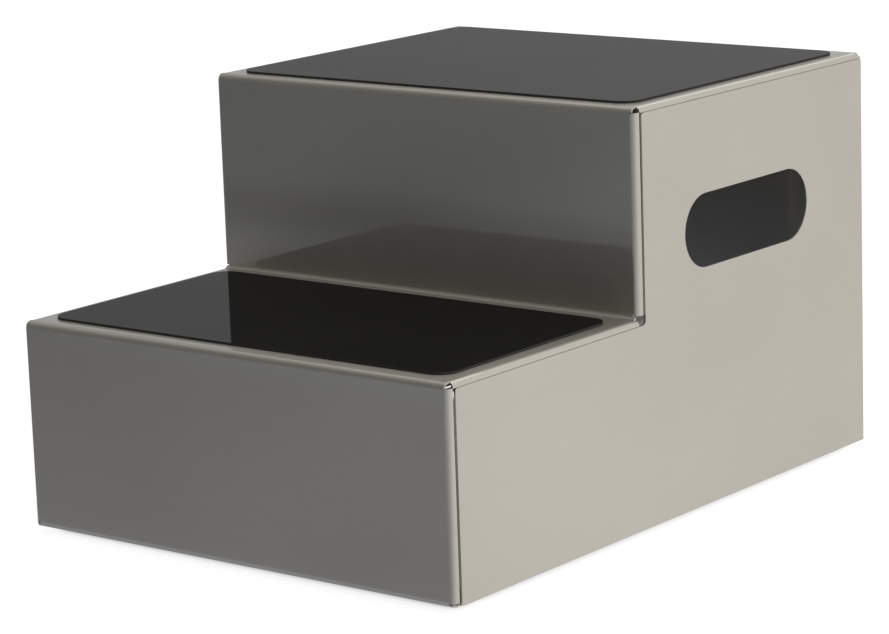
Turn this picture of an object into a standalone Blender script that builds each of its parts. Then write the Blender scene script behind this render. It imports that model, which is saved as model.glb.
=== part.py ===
"""Two-tread climbing steps folded from thin steel sheet, with a rubbery mat on each tread.

Units are metres and +Z is up. The front of the steps faces -Y, and the origin is the middle of the
floor under them. One long folded strip makes the front, both treads, the riser and the back. Two
flat side panels with a hand slot close its sides, and four rubber feet are screwed underneath.
"""

import math

import bmesh
import bpy
from mathutils import Matrix

# Overall sizes
WIDTH = 0.380
DEPTH = 0.5113
LOWER_STEP_HEIGHT = 0.1508
UPPER_STEP_HEIGHT = 0.2984
LOWER_STEP_DEPTH = 0.2150

# Sheet and bends
SHEET = 0.0015
INSIDE_RADIUS = 0.0030
OUTSIDE_RADIUS = INSIDE_RADIUS + SHEET
BEND_SEGMENTS = 8
CLEARANCE = 0.0003

# Corner returns and the open seam beside them
RETURN_REACH = 0.0059
SEAM_GAP = 0.0027
RETURN_TOP_OVERRUN = 0.00035
RETURN_FOOT_OVERRUN = 0.0015
RISER_RETURN_FOOT_OVERRUN = 0.0006

# Corner reliefs, where three bends meet
RELIEF_SETBACK = 0.0064
RELIEF_INSET = 0.00265
INNER_CORNER_INSET = 0.0026
INNER_CORNER_OVERRUN = 0.0008
REAR_CORNER_LAP = 0.0003
REAR_CORNER_OVERRUN = 0.0040

# Flanges turned in under the front and the back
FLANGE_WIDTH = 0.038
SHELL_SIDE_INSET = SHEET + CLEARANCE

# Side panels
PANEL_TOP_FRONT_RADIUS = 0.0020
PANEL_INNER_CORNER_RADIUS = 0.0033
PANEL_TOP_REAR_RADIUS = 0.0012
PANEL_FOOT_FRONT_RADIUS = 0.0010
RIGHT_PANEL_FOOT_LIFT = 0.0003
LEFT_PANEL_FOOT_LIFT = 0.0024
HAND_SLOT_LENGTH = 0.1595
HAND_SLOT_HEIGHT = 0.0531
HAND_SLOT_BELOW_TREAD = 0.0988
HAND_SLOT_FORWARD_OF_MIDDLE = 0.0095

# Mats
MAT_THICKNESS = 0.0014
MAT_CORNER_RADIUS = 0.0142
MAT_SIDE_MARGIN = 0.0122
LOWER_MAT_SHIFT = -0.0008
UPPER_MAT_SHIFT = 0.0010
LOWER_MAT_FRONT_MARGIN = 0.0150
LOWER_MAT_REAR_MARGIN = 0.0144
UPPER_MAT_FRONT_MARGIN = 0.0112
UPPER_MAT_REAR_MARGIN = 0.0148

# Stiffening channels under the treads
CHANNEL_HEIGHT = 0.018
CHANNEL_CROWN = 0.046
CHANNEL_LIP = 0.014
CHANNEL_END_GAP = 0.004

# Feet and their fasteners
FOOT_HEIGHT = 0.0045
FOOT_TOP_RADIUS = 0.0090
FOOT_FLOOR_RADIUS = 0.0080
FOOT_EDGE = 0.0006
FOOT_FROM_FACE = 0.0276
FOOT_FROM_SIDE = 0.0350
FOOT_RECESS_RADIUS = 0.0052
FOOT_WEB = 0.0010
SCREW_RADIUS = 0.0020
SCREW_HEAD_RADIUS = 0.0038
SCREW_HEAD_HEIGHT = 0.0011
SCREW_TIP_CHAMFER = 0.0005
SCREW_PAST_NUT = 0.0015
SCREW_HOLE_RADIUS = SCREW_RADIUS + CLEARANCE
WASHER_RADIUS = 0.0048
WASHER_THICKNESS = 0.0006
NUT_ACROSS_FLATS = 0.0070
NUT_HEIGHT = 0.0032
NUT_CORNER_BEVEL = 0.0003

# How finely round shapes are divided
ROUND_SEGMENTS = 32
SLOT_CORNER_SEGMENTS = 12
CORNER_SEGMENTS = 6
MAT_CORNER_SEGMENTS = 12
HEAD_DOME_STEPS = 4
CUT_OVERSHOOT = 0.002

# How many slices of a bend stay open beside a relief, so that two flanges never touch
RELIEF_SLICES = 1
FOOT_RELIEF_SLICES = 3
INNER_RELIEF_SLICES = 2
TEAR_SLICES = 1
INNER_CORNER_SLICES = 3
REAR_CORNER_SLICES = 6

# Places worked out from the sizes above
FRONT_Y = -DEPTH / 2
REAR_Y = DEPTH / 2
RISER_Y = FRONT_Y + LOWER_STEP_DEPTH
SHELL_Z = FOOT_HEIGHT
LOWER_TREAD_Z = SHELL_Z + LOWER_STEP_HEIGHT
UPPER_TREAD_Z = SHELL_Z + UPPER_STEP_HEIGHT
BEND_EDGE_X = WIDTH / 2 - OUTSIDE_RADIUS
PANEL_FRONT_SETBACK = RETURN_REACH + SEAM_GAP
PANEL_DROP = OUTSIDE_RADIUS + CLEARANCE


def clear_scene():
    """Empty the file, so that the model stands alone in it."""
    for old in list(bpy.data.objects):
        bpy.data.objects.remove(old)


def make_material(name, colour, roughness, metallic):
    """A plain surface with one colour, as seen on the object."""
    material = bpy.data.materials.new(name)
    material.use_nodes = True
    shader = material.node_tree.nodes["Principled BSDF"]
    shader.inputs["Base Color"].default_value = (*colour, 1.0)
    shader.inputs["Roughness"].default_value = roughness
    shader.inputs["Metallic"].default_value = metallic
    return material


def make_object(name, mesh, material, parent, location=(0.0, 0.0, 0.0)):
    """Put a mesh in the scene as one named piece."""
    piece = bpy.data.objects.new(name, mesh)
    piece.location = location
    piece.parent = parent
    bpy.context.scene.collection.objects.link(piece)
    if material is not None:
        mesh.materials.append(material)
    return piece


def finish_mesh(bm, name, sharp_degrees=35.0):
    """Turn a bmesh into a mesh that is smooth on its round parts and crisp at its edges."""
    mesh = bpy.data.meshes.new(name)
    bm.to_mesh(mesh)
    bm.free()
    mesh.shade_smooth()
    mesh.set_sharp_from_angle(angle=math.radians(sharp_degrees))
    return mesh


class FoldPath:
    """The outside line of a folded sheet, seen from its side, as flat runs and bends.

    The line lies in the YZ plane. The sheet's outside is on the left of the way it runs, so a turn
    to the right is an outer corner, and its radius is that of the outside face.
    """

    def __init__(self, y, z, heading_degrees):
        self.heading = math.radians(heading_degrees)
        self.stations = [(y, z)]
        self.rows = []

    def run(self, length, name):
        """Go straight on for a length."""
        y, z = self.stations[-1]
        step_y = length * math.cos(self.heading)
        step_z = length * math.sin(self.heading)
        self.stations.append((y + step_y, z + step_z))
        self.rows.append(name)

    def bend(self, right_degrees, radius, name, segments=BEND_SEGMENTS):
        """Turn to the right, or to the left where the angle is negative."""
        side = math.copysign(1.0, right_degrees)
        y, z = self.stations[-1]
        centre_y = y + side * radius * math.sin(self.heading)
        centre_z = z - side * radius * math.cos(self.heading)
        for step in range(1, segments + 1):
            angle = self.heading - math.radians(right_degrees) * step / segments
            point_y = centre_y - side * radius * math.sin(angle)
            point_z = centre_z + side * radius * math.cos(angle)
            self.stations.append((point_y, point_z))
            self.rows.append(name)
        self.heading -= math.radians(right_degrees)

    def first(self, name):
        """The index of the first row of a run or a bend."""
        return self.rows.index(name)

    def last(self, name):
        """The index of the last row of a run or a bend."""
        return len(self.rows) - 1 - self.rows[::-1].index(name)

    def normal(self, row):
        """The way the outside of a row faces, in Y and Z."""
        (y0, z0), (y1, z1) = self.stations[row], self.stations[row + 1]
        length = math.hypot(y1 - y0, z1 - z0)
        return -(z1 - z0) / length, (y1 - y0) / length

    def direction(self, row):
        """The way a row runs, in Y and Z."""
        (y0, z0), (y1, z1) = self.stations[row], self.stations[row + 1]
        length = math.hypot(y1 - y0, z1 - z0)
        return (y1 - y0) / length, (z1 - z0) / length


class SheetSurface:
    """The outside face of a folded sheet, built up as cells that share their corners."""

    def __init__(self):
        self.bm = bmesh.new()
        self.corners = {}

    def corner(self, x, y, z):
        """The corner at a point, made once and shared by every cell that meets there."""
        key = (round(x * 1e7), round(y * 1e7), round(z * 1e7))
        if key not in self.corners:
            self.corners[key] = self.bm.verts.new((x, y, z))
        return self.corners[key]

    def cell(self, points, side=1):
        """A face through four points, turned round on the mirrored side."""
        corners = [self.corner(*point) for point in points]
        if side < 0:
            corners.reverse()
        self.bm.faces.new(corners)

    def strip(self, path, half_width):
        """The middle of the strip, from one side bend to the other."""
        for row in range(len(path.rows)):
            start, end = path.stations[row], path.stations[row + 1]
            self.cell([(-half_width, *start), (half_width, *start), (half_width, *end), (-half_width, *end)])

    def wings(self, path, first_row, last_row, inner, outer):
        """Narrow cells that widen some rows of the strip on both sides."""
        for row in range(first_row, last_row + 1):
            start, end = path.stations[row], path.stations[row + 1]
            for side in (1, -1):
                near, far = side * inner, side * outer
                self.cell([(near, *start), (far, *start), (far, *end), (near, *end)], side)

    def flaps(self, path, row, reach, before=0.0, after=0.0, skip=TEAR_SLICES):
        """Edges of a flat row turned back round the strip's long sides.

        reach is how far they go behind the row's face. before and after are how far they run past
        the row's two ends, which they do only beyond the first slices of the bend, given by skip.
        """
        normal_y, normal_z = path.normal(row)
        run_y, run_z = path.direction(row)
        start, end = path.stations[row], path.stations[row + 1]
        slices = []
        for step in range(BEND_SEGMENTS + 1):
            angle = math.pi / 2 * step / BEND_SEGMENTS
            across = BEND_EDGE_X + OUTSIDE_RADIUS * math.sin(angle)
            slices.append((across, OUTSIDE_RADIUS * (1.0 - math.cos(angle))))
        if reach > OUTSIDE_RADIUS:
            slices.append((WIDTH / 2, reach))
        for side in (1, -1):
            for index in range(len(slices) - 1):
                spans = [(0.0, 0.0, start, end)]
                if before > 0.0 and index >= skip:
                    spans.append((-before, 0.0, start, start))
                if after > 0.0 and index >= skip:
                    spans.append((0.0, after, end, end))
                for shift_from, shift_to, base_from, base_to in spans:
                    points = []
                    for shift, base, slice_index in (
                        (shift_from, base_from, index),
                        (shift_from, base_from, index + 1),
                        (shift_to, base_to, index + 1),
                        (shift_to, base_to, index),
                    ):
                        across, inward = slices[slice_index]
                        y = base[0] + shift * run_y - inward * normal_y
                        z = base[1] + shift * run_z - inward * normal_z
                        points.append((side * across, y, z))
                    self.cell(points, side)


def thicken(piece):
    """Give a sheet's outside face its thickness, towards the inside."""
    wall = piece.modifiers.new("sheet", "SOLIDIFY")
    wall.thickness = SHEET
    wall.offset = -1.0
    wall.use_even_offset = True
    wall.use_quality_normals = True


def cut(piece, cutter):
    """Take a cutter's shape out of a piece."""
    hole = piece.modifiers.new("cut " + cutter.name, "BOOLEAN")
    hole.operation = "DIFFERENCE"
    hole.solver = "EXACT"
    hole.object = cutter


def hide_cutter(cutter):
    """Mark an object as a tool that only cuts."""
    cutter.hide_render = True
    cutter.display_type = "WIRE"


def shell_path():
    """The folded strip's outside line, from the front flange's edge round to the rear one's."""
    lip = RELIEF_SETBACK - OUTSIDE_RADIUS - CLEARANCE
    path = FoldPath(FRONT_Y + FLANGE_WIDTH, SHELL_Z, 180.0)
    path.run(FLANGE_WIDTH - OUTSIDE_RADIUS, "front_flange")
    path.bend(90.0, OUTSIDE_RADIUS, "front_foot_bend")
    path.run(LOWER_STEP_HEIGHT - 2 * OUTSIDE_RADIUS, "front")
    path.bend(90.0, OUTSIDE_RADIUS, "front_top_bend")
    path.run(lip, "lower_tread_lip")
    path.run(CLEARANCE, "lower_tread_tear")
    path.run(LOWER_STEP_DEPTH - RELIEF_SETBACK - INSIDE_RADIUS, "lower_tread")
    path.bend(-90.0, INSIDE_RADIUS, "inner_bend")
    path.run(UPPER_STEP_HEIGHT - LOWER_STEP_HEIGHT - INSIDE_RADIUS - OUTSIDE_RADIUS, "riser")
    path.bend(90.0, OUTSIDE_RADIUS, "riser_top_bend")
    path.run(lip, "upper_tread_lip")
    path.run(CLEARANCE, "upper_tread_tear")
    path.run(DEPTH - LOWER_STEP_DEPTH - RELIEF_SETBACK - OUTSIDE_RADIUS, "upper_tread")
    path.bend(90.0, OUTSIDE_RADIUS, "rear_top_bend")
    path.run(UPPER_STEP_HEIGHT - 2 * OUTSIDE_RADIUS, "back")
    path.bend(90.0, OUTSIDE_RADIUS, "rear_foot_bend")
    path.run(FLANGE_WIDTH - OUTSIDE_RADIUS, "rear_flange")
    return path


def foot_places():
    """The name and the X and Y of each foot."""
    places = []
    for row_name, y in (("front", FRONT_Y + FOOT_FROM_FACE), ("rear", REAR_Y - FOOT_FROM_FACE)):
        for side_name, side in (("left", -1), ("right", 1)):
            places.append((row_name + "_" + side_name, side * (WIDTH / 2 - FOOT_FROM_SIDE), y))
    return places


def make_step_shell(material, parent):
    """The folded strip, with open reliefs where three bends meet and returns at its corners."""
    path = shell_path()
    surface = SheetSurface()
    surface.strip(path, BEND_EDGE_X)
    panel_inside = WIDTH / 2 - SHELL_SIDE_INSET
    relief_edge = WIDTH / 2 - RELIEF_INSET
    inner_corner_edge = WIDTH / 2 - INNER_CORNER_INSET
    rear_corner_edge = panel_inside - REAR_CORNER_LAP
    widened = (
        ("front_flange", 0, "front_foot_bend", FOOT_RELIEF_SLICES, panel_inside),
        ("front_top_bend", RELIEF_SLICES, "lower_tread_lip", 0, relief_edge),
        ("inner_bend", RELIEF_SLICES, "inner_bend", INNER_RELIEF_SLICES, inner_corner_edge),
        ("riser_top_bend", RELIEF_SLICES, "upper_tread_lip", 0, relief_edge),
        ("rear_top_bend", RELIEF_SLICES, "rear_flange", 0, rear_corner_edge),
    )
    for first_name, left_out_first, last_name, left_out_last, edge in widened:
        first_row = path.first(first_name) + left_out_first
        last_row = path.last(last_name) - left_out_last
        surface.wings(path, first_row, last_row, BEND_EDGE_X, edge)
    surface.wings(path, path.first("back"), path.last("rear_flange"), rear_corner_edge, panel_inside)
    surface.flaps(
        path, path.first("front"), RETURN_REACH, before=RETURN_FOOT_OVERRUN, after=RETURN_TOP_OVERRUN
    )
    surface.flaps(
        path,
        path.first("lower_tread"),
        OUTSIDE_RADIUS,
        after=INSIDE_RADIUS + INNER_CORNER_OVERRUN,
        skip=INNER_CORNER_SLICES,
    )
    surface.flaps(
        path, path.first("riser"), RETURN_REACH, before=RISER_RETURN_FOOT_OVERRUN, after=RETURN_TOP_OVERRUN
    )
    surface.flaps(
        path, path.first("upper_tread"), OUTSIDE_RADIUS, after=REAR_CORNER_OVERRUN, skip=REAR_CORNER_SLICES
    )
    mesh = finish_mesh(surface.bm, "step_shell")
    shell = make_object("step_shell", mesh, material, parent)
    thicken(shell)
    for foot_name, x, y in foot_places():
        drill = make_cutter_rod("screw_hole_" + foot_name, SCREW_HOLE_RADIUS, SHEET, parent)
        drill.location = (x, y, SHELL_Z)
        cut(shell, drill)
    return shell


def make_cutter_rod(name, radius, depth, parent):
    """An upright round cutter that starts below its origin and ends above a depth."""
    bm = bmesh.new()
    length = depth + 2 * CUT_OVERSHOOT
    bmesh.ops.create_cone(
        bm, cap_ends=True, segments=ROUND_SEGMENTS, radius1=radius, radius2=radius, depth=length
    )
    bmesh.ops.translate(bm, verts=bm.verts, vec=(0.0, 0.0, depth / 2))
    cutter = make_object(name, finish_mesh(bm, name), None, parent)
    hide_cutter(cutter)
    return cutter


def rounded_outline(corners, segments=CORNER_SEGMENTS):
    """An outline through corners given as (u, v, radius), with an arc at each rounded one."""
    points = []
    count = len(corners)
    for index, (u, v, radius) in enumerate(corners):
        if radius <= 0.0:
            points.append((u, v))
            continue
        back_u, back_v = corners[index - 1][:2]
        next_u, next_v = corners[(index + 1) % count][:2]
        angle_back = math.atan2(back_v - v, back_u - u)
        angle_next = math.atan2(next_v - v, next_u - u)
        opening = (angle_next - angle_back + math.pi) % (2 * math.pi) - math.pi
        reach = radius / math.sin(abs(opening) / 2)
        middle = angle_back + opening / 2
        centre_u = u + reach * math.cos(middle)
        centre_v = v + reach * math.sin(middle)
        turn = math.copysign(math.pi - abs(opening), opening)
        start = angle_back - math.copysign(math.pi / 2, opening)
        for step in range(segments + 1):
            angle = start - turn * step / segments
            points.append((centre_u + radius * math.cos(angle), centre_v + radius * math.sin(angle)))
    return points


def slab(bm, points, thickness):
    """A flat plate with an outline in XY, from z = 0 up to its thickness."""
    face = bm.faces.new([bm.verts.new((u, v, 0.0)) for u, v in points])
    grown = bmesh.ops.extrude_face_region(bm, geom=[face])
    raised = [item for item in grown["geom"] if isinstance(item, bmesh.types.BMVert)]
    bmesh.ops.translate(bm, verts=raised, vec=(0.0, 0.0, thickness))
    bmesh.ops.recalc_face_normals(bm, faces=bm.faces)


def stand_up(bm):
    """Turn a plate whose outline was drawn as (y, z) so that it stands in the YZ plane."""
    turn = Matrix(((0.0, 0.0, 1.0, 0.0), (1.0, 0.0, 0.0, 0.0), (0.0, 1.0, 0.0, 0.0), (0.0, 0.0, 0.0, 1.0)))
    bmesh.ops.transform(bm, matrix=turn, verts=bm.verts)


def side_outline(foot_lift):
    """The side panel's outline as (y, z) corners with radii, from its front foot backwards.

    foot_lift is how far its lower edge stays above the underside of the folded strip.
    """
    front_y = FRONT_Y + PANEL_FRONT_SETBACK
    riser_y = RISER_Y + PANEL_FRONT_SETBACK
    foot_z = SHELL_Z + foot_lift
    lower_z = LOWER_TREAD_Z - PANEL_DROP
    upper_z = UPPER_TREAD_Z - PANEL_DROP
    return [
        (front_y, foot_z, PANEL_FOOT_FRONT_RADIUS),
        (REAR_Y, foot_z, 0.0),
        (REAR_Y, upper_z, PANEL_TOP_REAR_RADIUS),
        (riser_y, upper_z, PANEL_TOP_FRONT_RADIUS),
        (riser_y, lower_z, PANEL_INNER_CORNER_RADIUS),
        (front_y, lower_z, PANEL_TOP_FRONT_RADIUS),
    ]


def make_side_panel(name, side, foot_lift, material, parent):
    """A flat L-shaped panel with a round-ended hand slot."""
    bm = bmesh.new()
    slab(bm, rounded_outline(side_outline(foot_lift)), SHEET)
    stand_up(bm)
    panel_x = WIDTH / 2 - SHEET if side > 0 else -WIDTH / 2
    panel = make_object(name, finish_mesh(bm, name), material, parent, (panel_x, 0.0, 0.0))
    bm = bmesh.new()
    half_length = HAND_SLOT_LENGTH / 2
    radius = HAND_SLOT_HEIGHT / 2
    corners = [
        (-half_length, -radius, radius),
        (half_length, -radius, radius),
        (half_length, radius, radius),
        (-half_length, radius, radius),
    ]
    slab(bm, rounded_outline(corners, SLOT_CORNER_SEGMENTS), SHEET + 2 * CUT_OVERSHOOT)
    bmesh.ops.remove_doubles(bm, verts=bm.verts, dist=1e-7)
    stand_up(bm)
    slot_y = (RISER_Y + REAR_Y) / 2 - HAND_SLOT_FORWARD_OF_MIDDLE
    slot_z = UPPER_TREAD_Z - HAND_SLOT_BELOW_TREAD
    cutter_name = "hand_slot_" + name
    cutter = make_object(
        cutter_name, finish_mesh(bm, cutter_name), None, parent, (panel_x - CUT_OVERSHOOT, slot_y, slot_z)
    )
    hide_cutter(cutter)
    cut(panel, cutter)
    return panel


def make_mat(name, shift, front_y, rear_y, tread_z, material, parent):
    """A thin mat with rounded corners, laid by hand a little to one side of the tread's middle."""
    half_width = WIDTH / 2 - MAT_SIDE_MARGIN
    half_depth = (rear_y - front_y) / 2
    radius = MAT_CORNER_RADIUS
    corners = [
        (-half_width, -half_depth, radius),
        (half_width, -half_depth, radius),
        (half_width, half_depth, radius),
        (-half_width, half_depth, radius),
    ]
    bm = bmesh.new()
    slab(bm, rounded_outline(corners, MAT_CORNER_SEGMENTS), MAT_THICKNESS)
    place = (shift, (front_y + rear_y) / 2, tread_z + CLEARANCE)
    return make_object(name, finish_mesh(bm, name), material, parent, place)


def make_stiffener(name, middle_y, tread_z, material, parent):
    """A channel with two lips, fixed to the underside of a tread from side to side."""
    half_length = BEND_EDGE_X - CHANNEL_END_GAP
    depth = CHANNEL_HEIGHT - SHEET
    top = -SHEET - CLEARANCE
    foot_y = CHANNEL_CROWN / 2
    path = FoldPath(foot_y + CHANNEL_LIP, top - SHEET, 180.0)
    path.run(CHANNEL_LIP - INSIDE_RADIUS, "rear_lip")
    path.bend(-90.0, INSIDE_RADIUS, "rear_lip_bend", CORNER_SEGMENTS)
    path.run(depth - INSIDE_RADIUS - OUTSIDE_RADIUS, "rear_web")
    path.bend(90.0, OUTSIDE_RADIUS, "rear_crown_bend", CORNER_SEGMENTS)
    path.run(CHANNEL_CROWN - 2 * OUTSIDE_RADIUS, "crown")
    path.bend(90.0, OUTSIDE_RADIUS, "front_crown_bend", CORNER_SEGMENTS)
    path.run(depth - INSIDE_RADIUS - OUTSIDE_RADIUS, "front_web")
    path.bend(-90.0, INSIDE_RADIUS, "front_lip_bend", CORNER_SEGMENTS)
    path.run(CHANNEL_LIP - INSIDE_RADIUS, "front_lip")
    surface = SheetSurface()
    surface.strip(path, half_length)
    mesh = finish_mesh(surface.bm, name)
    channel = make_object(name, mesh, material, parent, (0.0, middle_y, tread_z))
    thicken(channel)
    return channel


def turned(name, profile, closed, material, parent, location):
    """A round piece, from a profile of (radius, z) points turned about the upright axis."""
    bm = bmesh.new()
    corners = [bm.verts.new((radius, 0.0, z)) for radius, z in profile]
    edges = [bm.edges.new((corners[index], corners[index + 1])) for index in range(len(corners) - 1)]
    if closed:
        edges.append(bm.edges.new((corners[-1], corners[0])))
    bmesh.ops.spin(
        bm,
        geom=corners + edges,
        cent=(0.0, 0.0, 0.0),
        axis=(0.0, 0.0, 1.0),
        dvec=(0.0, 0.0, 0.0),
        angle=2 * math.pi,
        steps=ROUND_SEGMENTS,
        use_merge=True,
    )
    bmesh.ops.remove_doubles(bm, verts=bm.verts, dist=1e-6)
    bmesh.ops.recalc_face_normals(bm, faces=bm.faces)
    return make_object(name, finish_mesh(bm, name), material, parent, location)


def foot_profile():
    """A low rubber foot with a screw hole and a recess for the washer and the screw head."""
    top = -CLEARANCE
    recess_top = top - FOOT_WEB
    floor = -FOOT_HEIGHT
    return [
        (SCREW_HOLE_RADIUS, top),
        (FOOT_TOP_RADIUS, top),
        (FOOT_FLOOR_RADIUS, floor + FOOT_EDGE),
        (FOOT_FLOOR_RADIUS - FOOT_EDGE, floor),
        (FOOT_RECESS_RADIUS, floor),
        (FOOT_RECESS_RADIUS, recess_top),
        (SCREW_HOLE_RADIUS, recess_top),
    ]


def washer_profile():
    """A flat washer inside the foot's recess."""
    top = -CLEARANCE - FOOT_WEB - CLEARANCE
    return [
        (SCREW_HOLE_RADIUS, top),
        (WASHER_RADIUS, top),
        (WASHER_RADIUS, top - WASHER_THICKNESS),
        (SCREW_HOLE_RADIUS, top - WASHER_THICKNESS),
    ]


def screw_profile():
    """A screw with a low domed head, from below its washer up through the nut."""
    head_top = -CLEARANCE - FOOT_WEB - CLEARANCE - WASHER_THICKNESS - CLEARANCE
    tip = SHEET + CLEARANCE + NUT_HEIGHT + SCREW_PAST_NUT
    profile = []
    for step in range(HEAD_DOME_STEPS + 1):
        angle = math.pi / 2 * step / HEAD_DOME_STEPS
        radius = SCREW_HEAD_RADIUS * math.sin(angle)
        profile.append((radius, head_top - SCREW_HEAD_HEIGHT * math.cos(angle)))
    profile.append((SCREW_RADIUS, head_top))
    profile.append((SCREW_RADIUS, tip - SCREW_TIP_CHAMFER))
    profile.append((SCREW_RADIUS - SCREW_TIP_CHAMFER, tip))
    profile.append((0.0, tip))
    return profile


def make_nut(name, material, parent, location):
    """A hexagon nut with chamfered corners, drilled for its screw."""
    across_corners = NUT_ACROSS_FLATS / math.cos(math.pi / 6)
    bm = bmesh.new()
    bmesh.ops.create_cone(
        bm,
        cap_ends=True,
        segments=6,
        radius1=across_corners / 2,
        radius2=across_corners / 2,
        depth=NUT_HEIGHT,
    )
    upright = [edge for edge in bm.edges if abs(edge.verts[0].co.z - edge.verts[1].co.z) > NUT_HEIGHT / 2]
    bmesh.ops.bevel(
        bm,
        geom=upright,
        offset=NUT_CORNER_BEVEL,
        offset_type="OFFSET",
        affect="EDGES",
        segments=1,
        profile=0.5,
        material=-1,
    )
    nut = make_object(name, finish_mesh(bm, name), material, parent, location)
    bore = make_cutter_rod("bore_" + name, SCREW_HOLE_RADIUS, NUT_HEIGHT, parent)
    bore.location = (location[0], location[1], location[2] - NUT_HEIGHT / 2)
    cut(nut, bore)
    return nut


def make_foot(foot_name, x, y, rubber, zinc, parent):
    """One foot with the washer, screw and nut that hold it to the flange."""
    place = (x, y, SHELL_Z)
    turned("foot_" + foot_name, foot_profile(), True, rubber, parent, place)
    turned("foot_washer_" + foot_name, washer_profile(), True, zinc, parent, place)
    turned("foot_screw_" + foot_name, screw_profile(), False, zinc, parent, place)
    nut_z = SHELL_Z + SHEET + CLEARANCE + NUT_HEIGHT / 2
    make_nut("foot_nut_" + foot_name, zinc, parent, (x, y, nut_z))


def main():
    """Build every piece of the steps."""
    clear_scene()
    parent = bpy.data.objects.new("climbing_steps", None)
    bpy.context.scene.collection.objects.link(parent)
    steel = make_material("satin_steel", (0.47, 0.45, 0.40), 0.34, 1.0)
    mat_black = make_material("gloss_black_mat", (0.018, 0.018, 0.019), 0.12, 0.0)
    rubber = make_material("foot_rubber", (0.020, 0.020, 0.021), 0.75, 0.0)
    zinc = make_material("zinc_fastener", (0.58, 0.59, 0.61), 0.30, 1.0)
    galvanised = make_material("plain_steel", (0.40, 0.40, 0.39), 0.42, 1.0)
    make_step_shell(steel, parent)
    make_side_panel("side_panel_left", -1, LEFT_PANEL_FOOT_LIFT, steel, parent)
    make_side_panel("side_panel_right", 1, RIGHT_PANEL_FOOT_LIFT, steel, parent)
    make_mat(
        "mat_lower",
        LOWER_MAT_SHIFT,
        FRONT_Y + LOWER_MAT_FRONT_MARGIN,
        RISER_Y - LOWER_MAT_REAR_MARGIN,
        LOWER_TREAD_Z,
        mat_black,
        parent,
    )
    make_mat(
        "mat_upper",
        UPPER_MAT_SHIFT,
        RISER_Y + UPPER_MAT_FRONT_MARGIN,
        REAR_Y - UPPER_MAT_REAR_MARGIN,
        UPPER_TREAD_Z,
        mat_black,
        parent,
    )
    make_stiffener("stiffener_lower", (FRONT_Y + RISER_Y) / 2, LOWER_TREAD_Z, galvanised, parent)
    make_stiffener("stiffener_upper", (RISER_Y + REAR_Y) / 2, UPPER_TREAD_Z, galvanised, parent)
    for foot_name, x, y in foot_places():
        make_foot(foot_name, x, y, rubber, zinc, parent)


main()
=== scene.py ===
"""Two-tread climbing steps folded from satin steel sheet, shown in a plain pale studio.

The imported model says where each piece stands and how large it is, and the fields below give its
finer sizes. Each finished piece stands exactly where its CAD node stands and replaces it with finer
bends, softened edges and a worked surface. Lengths are metres, +Z is up and the front of the steps
faces -Y.
"""

import logging
import math
from collections.abc import Callable, Iterable, Sequence
from dataclasses import dataclass
from enum import Enum

import bmesh
import bpy
from bmesh.types import BMEdge, BMVert
from bpy.types import Material, Node, NodeSocket, NodeTree, Object
from mathutils import Matrix, Quaternion, Vector

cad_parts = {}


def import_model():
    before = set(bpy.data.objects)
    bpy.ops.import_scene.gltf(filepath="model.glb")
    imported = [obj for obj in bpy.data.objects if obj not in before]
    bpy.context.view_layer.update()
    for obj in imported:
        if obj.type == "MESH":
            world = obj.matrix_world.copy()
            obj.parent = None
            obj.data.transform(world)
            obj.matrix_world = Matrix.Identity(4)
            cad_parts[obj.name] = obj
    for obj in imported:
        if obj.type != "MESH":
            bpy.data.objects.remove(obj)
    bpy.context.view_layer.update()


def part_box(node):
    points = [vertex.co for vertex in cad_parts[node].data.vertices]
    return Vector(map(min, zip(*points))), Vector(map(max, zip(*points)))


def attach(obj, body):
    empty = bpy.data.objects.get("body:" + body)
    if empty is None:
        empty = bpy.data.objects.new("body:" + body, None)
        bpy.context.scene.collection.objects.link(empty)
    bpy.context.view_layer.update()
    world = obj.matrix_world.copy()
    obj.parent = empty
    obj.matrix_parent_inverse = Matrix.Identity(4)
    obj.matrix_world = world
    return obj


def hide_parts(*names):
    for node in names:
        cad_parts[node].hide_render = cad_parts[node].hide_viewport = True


# A span is where a change starts and ends. A grade adds the values before and after the change.
# A rounding is a radius and how many chords make it.
Triple = tuple[float, float, float]
Span = tuple[float, float]
Grade = tuple[float, float, float, float]
Rounding = tuple[float, int]

LOG = logging.getLogger("climbing_steps")
BODY = "root"
MM = 0.001
TINY = 0.01 * MM
TOUCHING = TINY / 10
ACROSS = Vector((1.0, 0.0, 0.0))
FORWARD = Vector((0.0, -1.0, 0.0))
UP = Vector((0.0, 0.0, 1.0))
BLACK = (0.0, 0.0, 0.0, 1.0)
WHITE = (1.0, 1.0, 1.0, 1.0)
# The tones that stand for a colour at its darkest and at its lightest
TONES = (0.2, 0.8)

SHEET = 1.5 * MM
BEND_INSIDE_RADIUS = 3.0 * MM
SCREW_HOLE_RADIUS = 2.3 * MM


# Shader patterns written as plain arithmetic


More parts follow.
